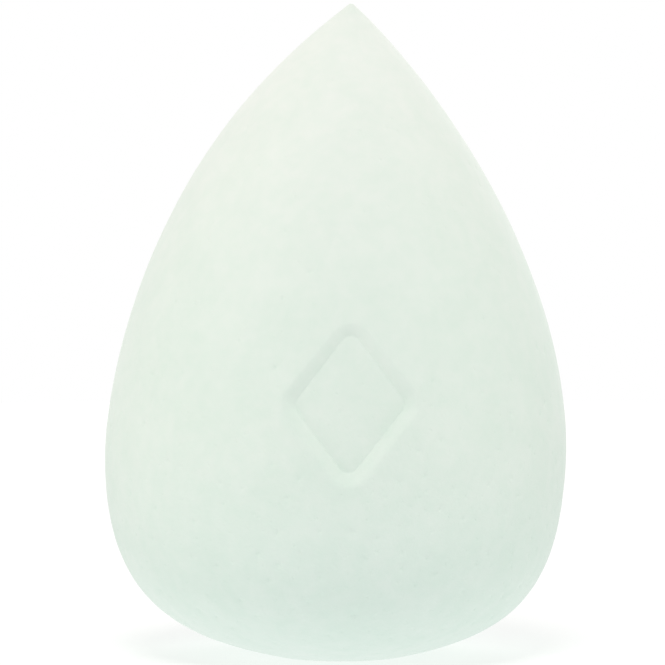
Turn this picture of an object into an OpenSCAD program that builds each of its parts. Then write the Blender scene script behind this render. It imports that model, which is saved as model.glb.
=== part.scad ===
// Teardrop makeup sponge: one soft foam moulding that stands on a small flat foot.
// The origin is the centre of the foot, +Z runs up to the tip, and -Y is the front.
// Cut in half, the sponge shows two zones: an open-celled core, and the closed skin
// that the foam forms where it meets the mould.

/* [Sponge] */
// Height from the foot to the tip
sponge_height = 60; // [50:0.5:70]
// Diameter at the widest place
sponge_diameter = 42.4; // [36:0.1:50]
// Height of the widest place above the foot
belly_height = 18.9; // [15:0.1:24]
// Radius of the rounded tip
tip_radius = 0.4; // [0.2:0.05:3]
// Angle between the side and the axis where the side runs into the tip
tip_half_angle = 50; // [44:1:56]
// Diameter of the flat foot
foot_diameter = 12; // [6:0.5:20]
// Slope of the underside where it leaves the foot
foot_edge_slope = 12; // [6:1:20]

/* [Skin] */
// Thickness of the closed skin
skin_thickness = 0.6; // [0.3:0.05:1.2]
// Gap that is drawn between the skin and the core, which the real sponge doesn't have
bond_gap = 0.05; // [0.02:0.01:0.1]

/* [Recess] */
// Overall width of the lozenge that is pressed into the front
recess_width = 11.4; // [7:0.1:15]
// Overall height of the lozenge
recess_rise = 13.6; // [8:0.1:18]
// Depth of the lozenge, square to the surface
recess_depth = 0.8; // [0.2:0.05:1]
// Radius of the lozenge's four corners
recess_corner_radius = 1.6; // [0.6:0.1:3]
// Height of the lozenge's centre above the foot
recess_centre_height = 25; // [20:0.5:30]
// Distance of the lozenge's centre from the middle of the front
recess_side_shift = 1.2; // [-3:0.1:3]

/* [Hidden] */

belly_radius = sponge_diameter / 2;
foot_radius = foot_diameter / 2;

// Heights that the two side curves climb
lower_rise = belly_height;
upper_rise = sponge_height - belly_height;

// How far each end of a side curve runs on straight before it bends, as a share:
// of the overhang at the foot, and of the height that the curve climbs elsewhere
foot_handle_share = 0.51;
lower_belly_handle_share = 0.77;
upper_belly_handle_share = 0.21;
tip_handle_share = 0.515;

// Cuts run past the surface that they open by this much
overrun = 2;

// Number of straight steps that draw each side curve, the tip and a corner of the lozenge
curve_steps = 24;
tip_steps = 4;
corner_steps = 6;
turn_facets = 96;

foot_edge = [foot_radius, 0];
belly = [belly_radius, belly_height];
tip_centre = [0, sponge_height - tip_radius];
tip_contact = tip_centre + tip_radius * [cos(tip_half_angle), sin(tip_half_angle)];

foot_handle = foot_handle_share * (belly_radius - foot_radius)
    * [cos(foot_edge_slope), sin(foot_edge_slope)];
lower_belly_handle = [0, -lower_belly_handle_share * lower_rise];
upper_belly_handle = [0, upper_belly_handle_share * upper_rise];
tip_handle = tip_handle_share * upper_rise * [sin(tip_half_angle), -cos(tip_half_angle)];

lower_side = [foot_edge, foot_edge + foot_handle, belly + lower_belly_handle, belly];
upper_side = [belly, belly + upper_belly_handle, tip_contact + tip_handle, tip_contact];

// A point at share s of a cubic curve with the control points c
function curve_point(c, s) =
    pow(1 - s, 3) * c[0] + 3 * pow(1 - s, 2) * s * c[1]
    + 3 * (1 - s) * pow(s, 2) * c[2] + pow(s, 3) * c[3];

// The direction of that curve at share s
function curve_direction(c, s) =
    let (d = pow(1 - s, 2) * (c[1] - c[0]) + 2 * (1 - s) * s * (c[2] - c[1])
        + pow(s, 2) * (c[3] - c[2]))
    d / norm(d);

// The curve moved inwards by inset, without its first point
function inset_curve(c, inset) = [
    for (i = [1 : curve_steps])
        let (s = i / curve_steps, d = curve_direction(c, s))
        curve_point(c, s) + inset * [-d.y, d.x]
];

// The rounded tip moved inwards by inset, which turns inside out past its own radius
function inset_tip(inset) = [
    for (i = [1 : tip_steps])
        let (a = tip_half_angle + (90 - tip_half_angle) * i / tip_steps)
        tip_centre + (tip_radius - inset) * [cos(a), sin(a)]
];

// Half section of the sponge, the same distance inside the surface everywhere
function half_section(inset) =
    let (
        side = concat(inset_curve(lower_side, inset), inset_curve(upper_side, inset)),
        kept = [for (p = concat(side, inset_tip(inset))) if (p.x > 0) p],
        last = kept[len(kept) - 1],
        apex = min(sponge_height - inset, last.y + last.x / tan(tip_half_angle)),
        foot_corner = foot_radius - inset * tan(foot_edge_slope / 2)
    )
    concat([[0, inset], [foot_corner, inset]], kept, [[0, apex]]);

// An arc of a lozenge's corner from one angle to another
function corner(centre, radius, from, to) = [
    for (i = [0 : corner_steps])
        let (a = from + (to - from) * i / corner_steps)
        centre + radius * [cos(a), sin(a)]
];

// A lozenge with round corners, grown outwards all round by growth
function lozenge(growth) =
    let (
        across = recess_width / 2 - recess_corner_radius,
        up = recess_rise / 2 - recess_corner_radius,
        radius = recess_corner_radius + growth,
        lean = atan2(across, up)
    )
    concat(
        corner([across, 0], radius, -lean, lean),
        corner([0, up], radius, lean, 180 - lean),
        corner([-across, 0], radius, 180 - lean, 180 + lean),
        corner([0, -up], radius, 180 + lean, 360 - lean)
    );

module sponge_form(inset) {
    rotate_extrude($fn = turn_facets)
        polygon(half_section(inset));
}

// What the recess takes out of the form: its floor follows the sponge's own surface
module recess_space(growth, floor_inset) {
    difference() {
        translate([recess_side_shift, 0, recess_centre_height])
            rotate([90, 0, 0])
                linear_extrude(height = belly_radius + overrun)
                    polygon(lozenge(growth));
        sponge_form(floor_inset);
    }
}

// The form with its recess, the same distance inside the surface everywhere
module recessed_form(inset) {
    difference() {
        sponge_form(inset);
        recess_space(inset, recess_depth + inset);
    }
}

// The open-celled foam that fills the skin
module foam_core() {
    color("#EEF5EC")
        recessed_form(skin_thickness + bond_gap);
}

// The closed skin all round, which keeps its thickness behind the recess
module moulded_skin() {
    color("#E0EEE2")
        difference() {
            recessed_form(0);
            recessed_form(skin_thickness);
        }
}

foam_core();
moulded_skin();
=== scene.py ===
import math
import random
from bisect import bisect_right

import bmesh
import bpy
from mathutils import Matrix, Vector, noise
from mathutils.geometry import interpolate_bezier


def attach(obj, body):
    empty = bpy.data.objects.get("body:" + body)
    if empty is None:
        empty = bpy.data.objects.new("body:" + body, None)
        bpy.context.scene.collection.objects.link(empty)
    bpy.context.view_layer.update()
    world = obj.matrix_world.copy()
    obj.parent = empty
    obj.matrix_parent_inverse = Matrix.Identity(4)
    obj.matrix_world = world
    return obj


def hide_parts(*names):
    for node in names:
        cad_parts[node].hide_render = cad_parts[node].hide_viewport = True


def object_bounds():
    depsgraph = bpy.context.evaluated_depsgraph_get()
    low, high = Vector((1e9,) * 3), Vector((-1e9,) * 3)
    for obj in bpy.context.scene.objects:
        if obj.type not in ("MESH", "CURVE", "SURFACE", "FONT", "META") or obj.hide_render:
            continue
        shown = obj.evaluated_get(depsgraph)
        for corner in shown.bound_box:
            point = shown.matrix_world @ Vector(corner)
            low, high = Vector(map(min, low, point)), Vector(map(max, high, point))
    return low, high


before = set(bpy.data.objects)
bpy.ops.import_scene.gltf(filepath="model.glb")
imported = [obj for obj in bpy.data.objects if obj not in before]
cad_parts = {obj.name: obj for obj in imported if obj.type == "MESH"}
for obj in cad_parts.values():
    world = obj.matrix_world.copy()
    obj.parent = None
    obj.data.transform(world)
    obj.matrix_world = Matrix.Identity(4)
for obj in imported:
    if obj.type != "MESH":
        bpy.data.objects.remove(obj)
cadLow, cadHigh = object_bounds()

mm = 0.001


def clamp(value, low, high):
    return min(max(value, low), high)


def smoothStep(low, high, value):
    share = clamp((value - low) / (high - low), 0, 1)
    return share * share * (3 - 2 * share)


# The teardrop: two smooth curves on a small flat foot, closed by a rounded tip.
# The lower curve is a little fuller than the CAD solid's, as the soft foam sits.
form = {
    "height": cadHigh.z - cadLow.z,
    "bellyRadius": (cadHigh.y - cadLow.y) / 2,
    "bellyHeight": 18.9 * mm,
    "footRadius": 6 * mm,
    "footSlope": math.radians(12),
    "tipRadius": 0.4 * mm,
    "tipHalfAngle": math.radians(50),
    "footHandleShare": 0.62,         # of the overhang at the foot
    "lowerBellyHandleShare": 0.73,   # of the height below the belly
    "upperBellyHandleShare": 0.21,   # of the height above the belly
    "tipHandleShare": 0.515,         # of the same height
    "footPoints": 40,
    "curvePoints": 240,
    "tipPoints": 8,
    "leastRadius": 0.0001 * mm,      # an inset curve ends where it comes this near the axis
    "poleShare": 0.9999,             # a ball's corner this near its top or bottom stays there
}

# How the soft foam really stands: its tip leans to the right, and its belly sags
# a little to the left
stance = {
    "tipLean": 1.2 * mm,          # positive is to the right
    "tipLeanLength": 7.2 * mm,    # how far down from the tip it fades out
    "tipLeanCurve": 1.3,
    "bellySag": -0.3 * mm,
    "bellySagHeight": 12.5 * mm,  # where it is largest
    "bellySagSpread": 11 * mm,
    "footShift": 0.33 * mm,
    "footShiftLength": 4 * mm,    # how far up from the foot it fades out
}

# The plain lozenge pressed into the front
mark = {
    "width": 11.4 * mm,
    "rise": 13.6 * mm,
    "cornerRadius": 1.6 * mm,
    "depth": 0.8 * mm,     # at its middle
    "tilt": 0.2 * mm,      # how much deeper its foot lies, and how much shallower its top
    "centreHeight": 25 * mm,
    "sideShift": 1.2 * mm,
    "topLip": 0.45 * mm,   # how far the soft edge reaches outside the outline at its top
    "footLip": 0.7 * mm,   # and at its foot
    "wall": 0.6 * mm,      # how far the sloping wall reaches inside it
    "wallCurve": 1.4,      # over 1, the wall starts softly and meets the floor crisply
    "dome": 0.14 * mm,     # how much higher the middle of the floor springs back than its rim
    "domeReach": 3.6 * mm,
}

# The slow unevenness that a soft moulding has
unevenness = {
    "swell": 0.03 * mm,
    "swellLength": 7 * mm,
    "ripple": 0.008 * mm,
    "rippleLength": 1.8 * mm,
    "calmHeight": 3 * mm,  # it fades out towards the flat foot
}


def footAndSides():
    # Radius and height along the half section, from the foot's centre to the tip
    f = form
    foot = Vector((f["footRadius"], 0))
    belly = Vector((f["bellyRadius"], f["bellyHeight"]))
    tipCentre = Vector((0, f["height"] - f["tipRadius"]))
    tipArc = []
    for i in range(f["tipPoints"] + 1):
        angle = f["tipHalfAngle"] + (math.pi / 2 - f["tipHalfAngle"]) * i / f["tipPoints"]
        tipArc.append(tipCentre + Vector((math.cos(angle), math.sin(angle))) * f["tipRadius"])
    risesAbove = f["height"] - f["bellyHeight"]
    footHandle = Vector((math.cos(f["footSlope"]), math.sin(f["footSlope"])))
    footHandle *= f["footHandleShare"] * (f["bellyRadius"] - f["footRadius"])
    tipHandle = Vector((math.sin(f["tipHalfAngle"]), -math.cos(f["tipHalfAngle"])))
    tipHandle *= f["tipHandleShare"] * risesAbove
    lowerBellyHandle = Vector((0, -f["lowerBellyHandleShare"] * f["bellyHeight"]))
    upperBellyHandle = Vector((0, f["upperBellyHandleShare"] * risesAbove))
    underFoot = [foot * i / f["footPoints"] for i in range(f["footPoints"])]
    lower = interpolate_bezier(
        foot, foot + footHandle, belly + lowerBellyHandle, belly, f["curvePoints"])
    upper = interpolate_bezier(
        belly, belly + upperBellyHandle, tipArc[0] + tipHandle, tipArc[0], f["curvePoints"])
    return underFoot + lower[:-1] + upper[:-1] + tipArc


def halfSection(inset):
    # The same half section moved inwards all along, with its outward directions
    points = footAndSides()
    moved, outward = [], []
    for i, point in enumerate(points):
        before, after = points[max(i - 1, 0)], points[min(i + 1, len(points) - 1)]
        way = (after - before).normalized()
        out = Vector((way.y, -way.x))
        inner = point - out * inset
        if i == 0 or inner.x > form["leastRadius"]:
            moved.append(inner)
            outward.append(out)
    # Deep inside, the sides meet in a sharp apex before they reach the rounded tip
    last = moved[-1]
    apex = min(form["height"] - inset, last.y + last.x / math.tan(form["tipHalfAngle"]))
    return moved + [Vector((0, apex))], outward + [Vector((0, 1))]


def sectionSampler(inset):
    # Gives the point and the outward direction at a share of the way up the half section
    points, outward = halfSection(inset)
    lengths = [0.0]
    for a, b in zip(points, points[1:]):
        lengths.append(lengths[-1] + (b - a).length)

    def at(share):
        reach = share * lengths[-1]
        i = int(clamp(bisect_right(lengths, reach), 1, len(points) - 1))
        part = clamp((reach - lengths[i - 1]) / (lengths[i] - lengths[i - 1]), 0, 1)
        place = points[i - 1].lerp(points[i], part)
        return place, outward[i - 1].lerp(outward[i], part).normalized()

    return at


def onForm(direction, at):
    # A direction from the middle becomes a point of the form and its outward direction
    share = 1 - math.acos(clamp(direction.z, -1, 1)) / math.pi
    place, out = at(share)
    turn = math.atan2(direction.y, direction.x)
    around = Vector((math.cos(turn), math.sin(turn), 0))
    up = Vector((0, 0, 1))
    return around * place.x + up * place.y, around * out.x + up * out.y


def markDistance(point):
    # Distance from the lozenge's outline as seen from the front, negative inside it
    across = mark["width"] / 2 - mark["cornerRadius"]
    up = mark["rise"] / 2 - mark["cornerRadius"]
    x, z = abs(point.x - mark["sideShift"]), abs(point.z - mark["centreHeight"])
    along = (across * (across - 2 * x) - up * (up - 2 * z)) / (across ** 2 + up ** 2)
    along = clamp(along, -1, 1)
    away = math.hypot(x - across * (1 - along) / 2, z - up * (1 + along) / 2)
    return math.copysign(away, x * up + z * across - across * up) - mark["cornerRadius"]


def recessAt(point, inset):
    # How deep the mark lies at a point of the form
    if point.y > 0:
        return 0
    distance = markDistance(point) - inset
    down = clamp(0.5 - (point.z - mark["centreHeight"]) / mark["rise"], 0, 1)
    lip = mark["topLip"] + (mark["footLip"] - mark["topLip"]) * down
    share = clamp((lip - distance) / (lip + mark["wall"]), 0, 1)
    inwards = clamp(-distance / mark["domeReach"], 0, 1)
    dome = mark["dome"] * (1 - (1 - inwards) ** 2)
    depth = mark["depth"] + mark["tilt"] * (2 * down - 1)
    return depth * share ** mark["wallCurve"] - dome * share


def swellAt(point):
    swell = unevenness["swell"] * noise.noise(point / unevenness["swellLength"])
    ripple = unevenness["ripple"] * noise.noise(point / unevenness["rippleLength"])
    return (swell + ripple) * smoothStep(0, unevenness["calmHeight"], point.z)


def leanAt(height):
    # How far to the right the sponge stands at a height
    fromTip = max(form["height"] - height, 0) / stance["tipLeanLength"]
    fromSag = (height - stance["bellySagHeight"]) / stance["bellySagSpread"]
    fromFoot = height / stance["footShiftLength"]
    tip = stance["tipLean"] * math.exp(-fromTip ** stance["tipLeanCurve"])
    belly = stance["bellySag"] * math.exp(-fromSag ** 2)
    return tip + belly + stance["footShift"] * math.exp(-fromFoot)


def shapeForm(subdivisions, inset, shuffle=0.0, closeUps=(), seed=1):
    # A ball of even triangles, made finer near the mark and the tip, then moved onto the form
    bm = bmesh.new()
    bmesh.ops.create_icosphere(bm, subdivisions=subdivisions, radius=1)
    at = sectionSampler(inset)
    for inside, outside, fromTip in closeUps:
        near = set()
        for v in bm.verts:
            point, _ = onForm(v.co.normalized(), at)
            byMark = point.y < 0 and -inside < markDistance(point) < outside
            if byMark or point.z > form["height"] - fromTip:
                near.add(v)
        edges = [e for e in bm.edges if e.verts[0] in near and e.verts[1] in near]
        bmesh.ops.subdivide_edges(bm, edges=edges, cuts=1, use_grid_fill=True)
        # Turning some of the new edges keeps any triangle from folding over
        split = bmesh.ops.triangulate(bm, faces=[f for f in bm.faces if len(f.verts) > 3])
        bmesh.ops.beautify_fill(bm, faces=split["faces"], edges=split["edges"], method="ANGLE")
    rng = random.Random(seed)
    directions = {}
    for v in bm.verts:
        reach = shuffle * min(e.calc_length() for e in v.link_edges)
        nudge = Vector([rng.uniform(-reach, reach) for _ in range(3)])
        atPole = abs(v.co.z) > form["poleShare"]
        directions[v] = (v.co if atPole else v.co + nudge).normalized()
    for v, direction in directions.items():
        point, out = onForm(direction, at)
        v.co = point + out * (swellAt(point) - recessAt(point, inset))
    return bm


def standForm(bm):
    for v in bm.verts:
        v.co.x += leanAt(v.co.z)


# The pin-holes: bubbles of the foam that opened at the mould's wall
pores = {
    "seed": 11,
    "perSquareMmHigh": 0.4,
    "perSquareMmLow": 0.06,
    "zoneBottom": 12 * mm,      # below this the pores are close together
    "zoneTop": 34 * mm,         # above this they are rare
    "patchLength": 6 * mm,
    "patchPlace": (9, 4, 2),    # which part of the noise makes the patches
    "patchLeast": 0.6,          # how many bubbles a poor patch has, as a share
    "patchSpread": 0.8,         # and how much more of them a rich one has
    "tipClearance": 6 * mm,
    "wideShare": 0.4,           # how many of them are wide
    "narrowRadius": (0.07 * mm, 0.14 * mm),
    "wideRadius": (0.15 * mm, 0.26 * mm),
    "roomShare": 0.46,          # the most of its place in the mesh that a pore takes
    "rings": ((1.35, 0), (0.75, 0.15)),  # width and depth as shares of the pore's radius
    "strayShare": (0.8, 1.2),   # how far a ring strays from round
    "middleShare": 0.15,        # how much deeper its middle lies, as a share of the last ring
}

# Soft dimples, where a larger bubble lies just under the skin
dimples = {
    "seed": 5,
    "perSquareMm": 0.3,
    "depthShare": (0.04, 0.1),  # of the mesh's edges there
    "rimShare": 0.4,            # how far the corners round the middle go down with it
}


def bubbleShare(point):
    # Bubbles gather low on the sponge and in patches
    heightShare = 1 - smoothStep(pores["zoneBottom"], pores["zoneTop"], point.z)
    place = point / pores["patchLength"] + Vector(pores["patchPlace"])
    patch = 0.5 + 0.5 * noise.noise(place)
    return heightShare * (pores["patchLeast"] + pores["patchSpread"] * patch)


def poreDensity(point):
    # How many pores a square metre of skin has there
    low, high = pores["perSquareMmLow"], pores["perSquareMmHigh"]
    return (low + (high - low) * bubbleShare(point)) / mm ** 2


def sinkDimples(bm):
    rng = random.Random(dimples["seed"])
    bm.normal_update()
    sunk = {}
    for v in bm.verts:
        draw, share = rng.random(), rng.uniform(*dimples["depthShare"])
        area = sum(f.calc_area() for f in v.link_faces) / 3
        if draw > dimples["perSquareMm"] * bubbleShare(v.co) * area / mm ** 2:
            continue
        depth = share * min(e.calc_length() for e in v.link_edges)
        sunk[v] = max(sunk.get(v, 0), depth)
        for e in v.link_edges:
            other = e.other_vert(v)
            sunk[other] = max(sunk.get(other, 0), depth * dimples["rimShare"])
    for v, depth in sunk.items():
        v.co -= v.normal * depth


def poreCells(bm):
    # Clears one corner of the mesh for a narrow pore and seven for a wide one, which leaves
    # a face of six or twelve sides there
    rng = random.Random(pores["seed"])
    cleared, taken = [], set()
    top = form["height"] - pores["tipClearance"]
    for v in bm.verts:
        draw, wide = rng.random(), rng.random() < pores["wideShare"]
        if len(v.link_edges) != 6 or v in taken or v.co.z > top:
            continue
        if v.co.y < 0 and -mark["wall"] < markDistance(v.co) < mark["footLip"]:
            continue
        area = sum(f.calc_area() for f in v.link_faces) / 3
        if draw > poreDensity(v.co) * area:
            continue
        patch = [v]
        around = [e.other_vert(v) for e in v.link_edges]
        if wide and all(len(u.link_edges) == 6 and u not in taken for u in around):
            patch += around
        cleared += patch
        taken.update(e.other_vert(u) for u in patch for e in u.link_edges)
        taken.add(v)
    bmesh.ops.dissolve_verts(bm, verts=cleared)
    return [f for f in bm.faces if len(f.verts) > 3]


def openPores(bm):
    # Sinks each cleared face into the skin, ring by ring, and draws its rim round
    rng = random.Random(pores["seed"] + 1)
    radiusLayer = bm.faces.layers.float.new("poreRadius")
    # The 'pore' layer carries painted shade: it darkens the colour down in each pore
    shadeLayer = bm.verts.layers.float.new("pore")
    floors = poreCells(bm)
    for floor in floors:
        middle = floor.calc_center_median()
        room = pores["roomShare"] * min((v.co - middle).length for v in floor.verts)
        size = "wideRadius" if len(floor.verts) > 6 else "narrowRadius"
        floor[radiusLayer] = min(rng.uniform(*pores[size]), room)
    sunk = 0
    for width, depth in pores["rings"]:
        floors = bmesh.ops.extrude_discrete_faces(bm, faces=floors)["faces"]
        for floor in floors:
            floor.normal_update()
            middle, radius = floor.calc_center_median(), floor[radiusLayer]
            for v in floor.verts:
                reach = width * radius * rng.uniform(*pores["strayShare"])
                way = (v.co - middle).normalized()
                v.co = middle + way * reach - floor.normal * (depth - sunk) * radius
                v[shadeLayer] = min(depth, 1)
            floor.normal_update()
        sunk = depth
    poked = bmesh.ops.poke(
        bm, faces=floors, offset=-pores["middleShare"], center_mode="MEAN",
        use_relative_offset=True)
    for v in poked["verts"]:
        v[shadeLayer] = 1
    bm.faces.layers.float.remove(radiusLayer)
    return len(floors)


def addMesh(name, bm):
    mesh = bpy.data.meshes.new(name)
    bm.to_mesh(mesh)
    bm.free()
    mesh.shade_smooth()
    piece = bpy.data.objects.new(name, mesh)
    bpy.context.scene.collection.objects.link(piece)
    return piece


skin = {
    "thickness": 0.6 * mm,
    "outerSubdivisions": 7,
    "innerSubdivisions": 6,
    "seed": 3,
    "shuffle": 0.3,        # how far a corner strays, as a share of the mesh's edges there
    # Where the mesh is made finer: inside and outside the mark's outline, and from the tip
    "closeUps": (
        (1.8 * mm, 1.4 * mm, 3 * mm),
        (1.1 * mm, 0.6 * mm, 1.2 * mm),
        (0.8 * mm, 0, 0.6 * mm),
    ),
    "innerCloseUps": (
        (1.8 * mm, 2.4 * mm, 2 * mm),
        (1.1 * mm, 1.8 * mm, 0),
    ),
}


def buildSkin():
    outer = shapeForm(
        skin["outerSubdivisions"], 0, shuffle=skin["shuffle"], closeUps=skin["closeUps"],
        seed=skin["seed"])
    sinkDimples(outer)
    poreCount = openPores(outer)
    inner = shapeForm(
        skin["innerSubdivisions"], skin["thickness"], closeUps=skin["innerCloseUps"])
    bmesh.ops.reverse_faces(inner, faces=inner.faces)
    wall = bpy.data.meshes.new("innerWall")
    inner.to_mesh(wall)
    inner.free()
    outer.from_mesh(wall)
    bpy.data.meshes.remove(wall)
    standForm(outer)
    piece = addMesh("spongeSkin", outer)
    print("skin:", len(piece.data.polygons), "faces,", poreCount, "pores")
    return piece


core = {
    "gap": 0.05 * mm,          # between the skin and the core, as in the CAD solids
    "subdivisions": 7,
    "cellSize": 1.3 * mm,      # the real cells, 0.3 mm across, are too small for the mesh
    "cellDepth": 0.25 * mm,
    "cellRim": (0.05, 0.35),   # where the wall between cells starts to fall, and where it ends
    "roomShare": 0.8,          # the most that a cell sinks, as a share of the mesh's edges there
    "closeUps": ((1.1 * mm, 1.8 * mm, 0),),
}


def hollowCells(bm):
    # Sinks the middle of each cell and leaves the walls between them standing
    # The 'pore' layer carries painted shade, darkening the hollows between the cell walls
    shadeLayer = bm.verts.layers.float.new("pore")
    bm.normal_update()
    moves = {}
    for v in bm.verts:
        nearest, _ = noise.voronoi(v.co / core["cellSize"])
        hollow = smoothStep(*core["cellRim"], nearest[1] - nearest[0])
        v[shadeLayer] = hollow
        room = core["roomShare"] * min(e.calc_length() for e in v.link_edges)
        moves[v] = v.normal * min(core["cellDepth"], room) * hollow
    for v, move in moves.items():
        v.co -= move


def buildCore():
    inset = skin["thickness"] + core["gap"]
    bm = shapeForm(core["subdivisions"], inset, closeUps=core["closeUps"])
    hollowCells(bm)
    standForm(bm)
    piece = addMesh("spongeCore", bm)
    print("core:", len(piece.data.polygons), "faces")
    return piece


def linearColour(hexColour):
    # An sRGB hex value as linear red, green and blue, with full opacity
    colour = []
    for i in (1, 3, 5):
        c = int(hexColour[i:i + 2], 16) / 255
        colour.append(c / 12.92 if c <= 0.04045 else ((c + 0.055) / 1.055) ** 2.4)
    return colour + [1]


def addNode(tree, kind, inputs=None, **settings):
    node = tree.nodes.new(kind)
    for name, value in settings.items():
        setattr(node, name, value)
    for name, value in (inputs or {}).items():
        if isinstance(value, bpy.types.NodeSocket):
            tree.links.new(value, node.inputs[name])
        else:
            node.inputs[name].default_value = value
    return node


def newMaterial(name):
    material = bpy.data.materials.new(name)
    material.use_nodes = True
    material.node_tree.nodes.clear()
    return material, material.node_tree


# Hydrophilic polyurethane foam, pigmented mint all through. Its colour is painted paler towards
# the tip, as painted light from above and through the thin tip, and darker towards the foot, as
# painted shade.
foam = {
    "shadedFootMint": "#E1F0E7",
    "bellyMint": "#E5F0E7",
    "litTipMint": "#F0F5EE",
    "bellyZone": (2 * mm, 24 * mm),    # heights between which foot mint turns to belly mint
    "tipZone": (26 * mm, 58 * mm),     # and belly mint to tip mint
    "patchTint": "#FBFDFC",
    "patchLength": 5 * mm,
    "patchDetail": 3.0,
    "fleckTint": "#FCFEFD",
    "fleckLength": 1.3 * mm,
    "fleckDetail": 2.0,
    "cloudRange": (0.35, 0.65),        # noise values between which a tint comes in
    "cloudRoughness": 0.55,
    # the painted shade in the pores and the cell hollows
    "poreShadeTint": "#FBFDFC",
    "ior": 1.5,
    "sheenRoughness": 0.5,
}


def spread(tree, value, low, high, smooth=False, to=(0, 1)):
    return addNode(tree, "ShaderNodeMapRange", {
        "Value": value, "From Min": low, "From Max": high, "To Min": to[0], "To Max": to[1],
    }, interpolation_type="SMOOTHSTEP" if smooth else "LINEAR").outputs["Result"]


def mixColour(tree, share, first, second, blend="MIX"):
    # The mix node's two colours are its inputs 6 and 7, and the result is its output 2
    return addNode(tree, "ShaderNodeMix", {
        "Factor": share, 6: first, 7: linearColour(second),
    }, data_type="RGBA", blend_type=blend).outputs[2]


def cloudy(tree, place, length, detail):
    texture = addNode(tree, "ShaderNodeTexNoise", {
        "Vector": place, "Scale": 1 / length, "Detail": detail,
        "Roughness": foam["cloudRoughness"]})
    return texture.outputs["Fac"]


def foamColour(tree, place):
    height = addNode(tree, "ShaderNodeSeparateXYZ", {"Vector": place}).outputs["Z"]
    # Painted light and shade: paler towards the tip, darker towards the foot
    overFoot = spread(tree, height, *foam["bellyZone"], smooth=True)
    overBelly = spread(tree, height, *foam["tipZone"], smooth=True)
    colour = mixColour(tree, overFoot, linearColour(foam["shadedFootMint"]), foam["bellyMint"])
    colour = mixColour(tree, overBelly, colour, foam["litTipMint"])
    patches = cloudy(tree, place, foam["patchLength"], foam["patchDetail"])
    patches = spread(tree, patches, *foam["cloudRange"])
    colour = mixColour(tree, patches, colour, foam["patchTint"], "MULTIPLY")
    flecks = cloudy(tree, place, foam["fleckLength"], foam["fleckDetail"])
    flecks = spread(tree, flecks, *foam["cloudRange"])
    colour = mixColour(tree, flecks, colour, foam["fleckTint"], "MULTIPLY")
    # Painted shade in the pores and the core's cell hollows, read from the 'pore' layer
    pore = addNode(tree, "ShaderNodeAttribute", attribute_name="pore").outputs["Fac"]
    return mixColour(tree, pore, colour, foam["poreShadeTint"], "MULTIPLY")


def finishFoam(tree, colour, height, bumpHeight, roughness, sheen):
    bump = addNode(tree, "ShaderNodeBump", {
        "Height": height, "Strength": 1.0, "Distance": bumpHeight})
    shader = addNode(tree, "ShaderNodeBsdfPrincipled", {
        "Base Color": colour, "Roughness": roughness, "IOR": foam["ior"],
        "Sheen Weight": sheen, "Sheen Roughness": foam["sheenRoughness"],
        "Normal": bump.outputs["Normal"]})
    addNode(tree, "ShaderNodeOutputMaterial", {"Surface": shader.outputs["BSDF"]})


# The skin was moulded against polished metal: closed, matt and smooth, with cells
# that just show
skinLook = {
    "grainLength": 0.35 * mm,
    "grainDetail": 2.0,
    "grainRange": (0.3, 0.7),          # noise values where the grain lies low, and stands high
    "cellLength": 0.3 * mm,            # the real cells' size
    "cellSmoothness": 0.6,
    "cellShare": 0.5,                  # the cells' part of the relief, beside the grain's of 1
    "calmZone": (16 * mm, 36 * mm),    # the relief fades out over these heights
    "calmShare": 0.15,                 # to this share
    "bumpHeight": 0.02 * mm,
    "roughness": (0.78, 0.92),         # where the grain lies low, and where it stands high
    "sheen": 0.22,
}


def mouldedSkin():
    material, tree = newMaterial("mouldedPolyurethaneSkin")
    place = addNode(tree, "ShaderNodeTexCoord").outputs["Object"]
    grain = cloudy(tree, place, skinLook["grainLength"], skinLook["grainDetail"])
    cells = addNode(tree, "ShaderNodeTexVoronoi", {
        "Vector": place, "Scale": 1 / skinLook["cellLength"],
        "Smoothness": skinLook["cellSmoothness"]}, feature="SMOOTH_F1")
    height = addNode(tree, "ShaderNodeMath", {
        0: cells.outputs["Distance"], 1: skinLook["cellShare"], 2: grain,
    }, operation="MULTIPLY_ADD")
    up = addNode(tree, "ShaderNodeSeparateXYZ", {"Vector": place}).outputs["Z"]
    calm = spread(tree, up, *skinLook["calmZone"], smooth=True, to=(1, skinLook["calmShare"]))
    relief = addNode(tree, "ShaderNodeMath", {
        0: height.outputs[0], 1: calm}, operation="MULTIPLY")
    roughness = spread(tree, grain, *skinLook["grainRange"], to=skinLook["roughness"])
    finishFoam(tree, foamColour(tree, place), relief.outputs[0], skinLook["bumpHeight"],
               roughness, skinLook["sheen"])
    return material


# The core rose freely inside the skin, so it is open-celled: rough and fully matt
coreLook = {
    "cellLength": 0.45 * mm,   # a little over the real size, so that it shows
    "wallReach": 0.3,          # how far from a wall the roughness is the inside one, in cells
    "bumpHeight": 0.15 * mm,
    "roughness": (0.9, 1.0),   # on the walls between cells, and inside the cells
    "sheen": 0.2,
}


def openCellFoam():
    material, tree = newMaterial("openCellPolyurethane")
    place = addNode(tree, "ShaderNodeTexCoord").outputs["Object"]
    cells = addNode(tree, "ShaderNodeTexVoronoi", {
        "Vector": place, "Scale": 1 / coreLook["cellLength"]}, feature="DISTANCE_TO_EDGE")
    fromWall = cells.outputs["Distance"]
    walls = addNode(tree, "ShaderNodeMath", {0: 1.0, 1: fromWall}, operation="SUBTRACT")
    roughness = spread(tree, fromWall, 0, coreLook["wallReach"], to=coreLook["roughness"])
    finishFoam(tree, foamColour(tree, place), walls.outputs[0], coreLook["bumpHeight"],
               roughness, coreLook["sheen"])
    return material


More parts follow.
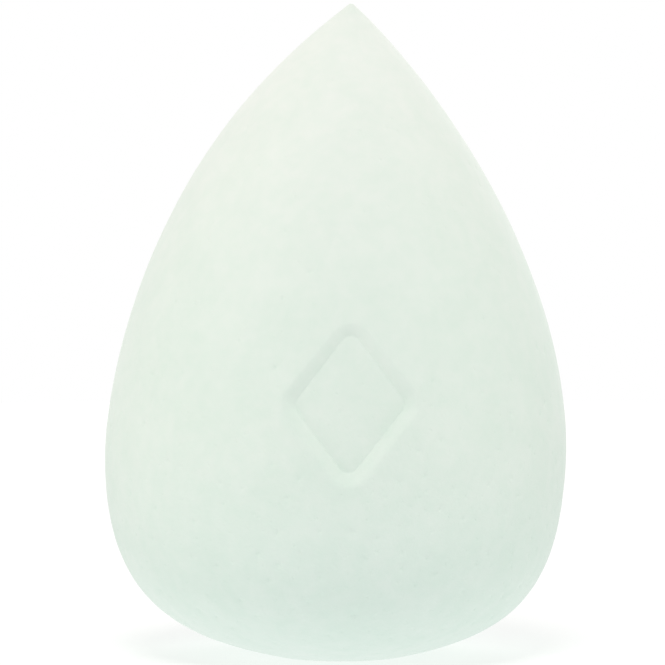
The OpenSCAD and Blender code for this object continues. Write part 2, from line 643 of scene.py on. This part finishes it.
studio = {
    "worldLight": 0.605,
    "lamps": {                # place, size, power in watts, colour
        "keyLight": ((-0.06, -0.5, 0.85), 0.4, 3.0, "#FFFDFA"),
        "leftLight": ((-0.7, -0.05, 0.14), 0.5, 0.86, "#FFF1E4"),
        "rightLight": ((0.7, 0.0, 0.35), 0.5, 0.72, "#FFFAEE"),
        "backLight": ((0.1, 0.7, 0.4), 0.5, 1.5, "#FFFFFF"),
    },
    "tableColour": "#C8C8C8",
    "tableSeenGlow": 0.46,    # what the camera sees of it, which leaves it a soft shadow
    "tableGlow": 0.99,        # and what reaches the underside of the sponge
    "tableRadius": 0.25,
    "tableCorners": 96,
    "tableDrop": 0.02 * mm,   # keeps the table's face off the foot's
}


def buildWorld():
    # The camera sees white, and the sponge is lit by a dimmer light from all round
    world = bpy.data.worlds.new("studioWorld")
    bpy.context.scene.world = world
    world.use_nodes = True
    tree = world.node_tree
    tree.nodes.clear()
    path = addNode(tree, "ShaderNodeLightPath").outputs
    seen = addNode(tree, "ShaderNodeMath", {
        0: path["Is Camera Ray"], 1: path["Is Glossy Ray"]}, operation="MAXIMUM")
    seen = addNode(tree, "ShaderNodeMath", {
        0: seen.outputs[0], 1: path["Is Transmission Ray"]}, operation="MAXIMUM")
    light = addNode(tree, "ShaderNodeBackground", {
        "Color": (1, 1, 1, 1), "Strength": studio["worldLight"]})
    white = addNode(tree, "ShaderNodeBackground", {"Color": (1, 1, 1, 1), "Strength": 1.0})
    both = addNode(tree, "ShaderNodeMixShader", {
        0: seen.outputs[0], 1: light.outputs[0], 2: white.outputs[0]})
    addNode(tree, "ShaderNodeOutputWorld", {"Surface": both.outputs[0]})


def buildTable():
    bm = bmesh.new()
    bmesh.ops.create_circle(
        bm, cap_ends=True, segments=studio["tableCorners"], radius=studio["tableRadius"])
    bmesh.ops.translate(bm, verts=bm.verts, vec=(0, 0, -studio["tableDrop"]))
    table = addMesh("lightTable", bm)
    material, tree = newMaterial("opalAcrylic")
    camera = addNode(tree, "ShaderNodeLightPath").outputs["Is Camera Ray"]
    opal = addNode(tree, "ShaderNodeBsdfDiffuse", {
        "Color": linearColour(studio["tableColour"])})
    seenGlow = addNode(tree, "ShaderNodeEmission", {"Strength": studio["tableSeenGlow"]})
    seen = addNode(tree, "ShaderNodeAddShader", {0: opal.outputs[0], 1: seenGlow.outputs[0]})
    glow = addNode(tree, "ShaderNodeEmission", {"Strength": studio["tableGlow"]})
    both = addNode(tree, "ShaderNodeMixShader", {
        0: camera, 1: glow.outputs[0], 2: seen.outputs[0]})
    # A view from below looks through it at the foot
    below = addNode(tree, "ShaderNodeNewGeometry").outputs["Backfacing"]
    clear = addNode(tree, "ShaderNodeBsdfTransparent")
    sided = addNode(tree, "ShaderNodeMixShader", {
        0: below, 1: both.outputs[0], 2: clear.outputs[0]})
    addNode(tree, "ShaderNodeOutputMaterial", {"Surface": sided.outputs[0]})
    table.data.materials.append(material)


def buildLamps():
    middle = Vector((0, 0, form["height"] / 2))
    for name, (place, size, power, colour) in studio["lamps"].items():
        light = bpy.data.lights.new(name, "AREA")
        light.shape = "DISK"
        light.size = size
        light.energy = power
        light.color = linearColour(colour)[:3]
        lamp = bpy.data.objects.new(name, light)
        lamp.location = place
        lamp.rotation_euler = (lamp.location - middle).to_track_quat("Z", "Y").to_euler()
        bpy.context.scene.collection.objects.link(lamp)


# The camera looks at the front from far off and a little above
view = {
    "lens": 600.0,            # focal length in mm
    "elevation": math.radians(5),
    "pixels": 665,
    "pixelsPerMm": 10.88,
    "axisPixel": 338.0,       # where the sponge's axis stands in the picture
    "footPixel": 654.8,       # and the middle of its foot
    "clipFactor": 100,        # how many times nearer and farther than the sponge it still sees
}


def buildCamera():
    lens = bpy.data.cameras.new("camera")
    lens.lens = view["lens"]
    camera = bpy.data.objects.new("camera", lens)
    bpy.context.scene.collection.objects.link(camera)
    pixel = mm / view["pixelsPerMm"]
    middle = view["pixels"] / 2
    across = (middle - view["axisPixel"]) * pixel
    up = (view["footPixel"] - middle) * pixel / math.cos(view["elevation"])
    distance = view["pixels"] * pixel * lens.lens / lens.sensor_width
    back = Vector((0, -math.cos(view["elevation"]), math.sin(view["elevation"])))
    camera.location = Vector((across, 0, up)) + back * distance
    camera.rotation_euler = back.to_track_quat("Z", "Y").to_euler()
    lens.clip_start = distance / view["clipFactor"]
    lens.clip_end = distance * view["clipFactor"]
    bpy.context.scene.camera = camera


buildCamera()
buildWorld()
buildTable()
buildLamps()
print("studio: light table,", len(studio["lamps"]), "lamps and the camera")

spongeSkin = buildSkin()
spongeSkin.data.materials.append(mouldedSkin())
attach(spongeSkin, "root")
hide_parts("moulded_skin")

spongeCore = buildCore()
spongeCore.data.materials.append(openCellFoam())
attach(spongeCore, "root")
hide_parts("foam_core")

bpy.context.scene.view_settings.view_transform = "Standard"
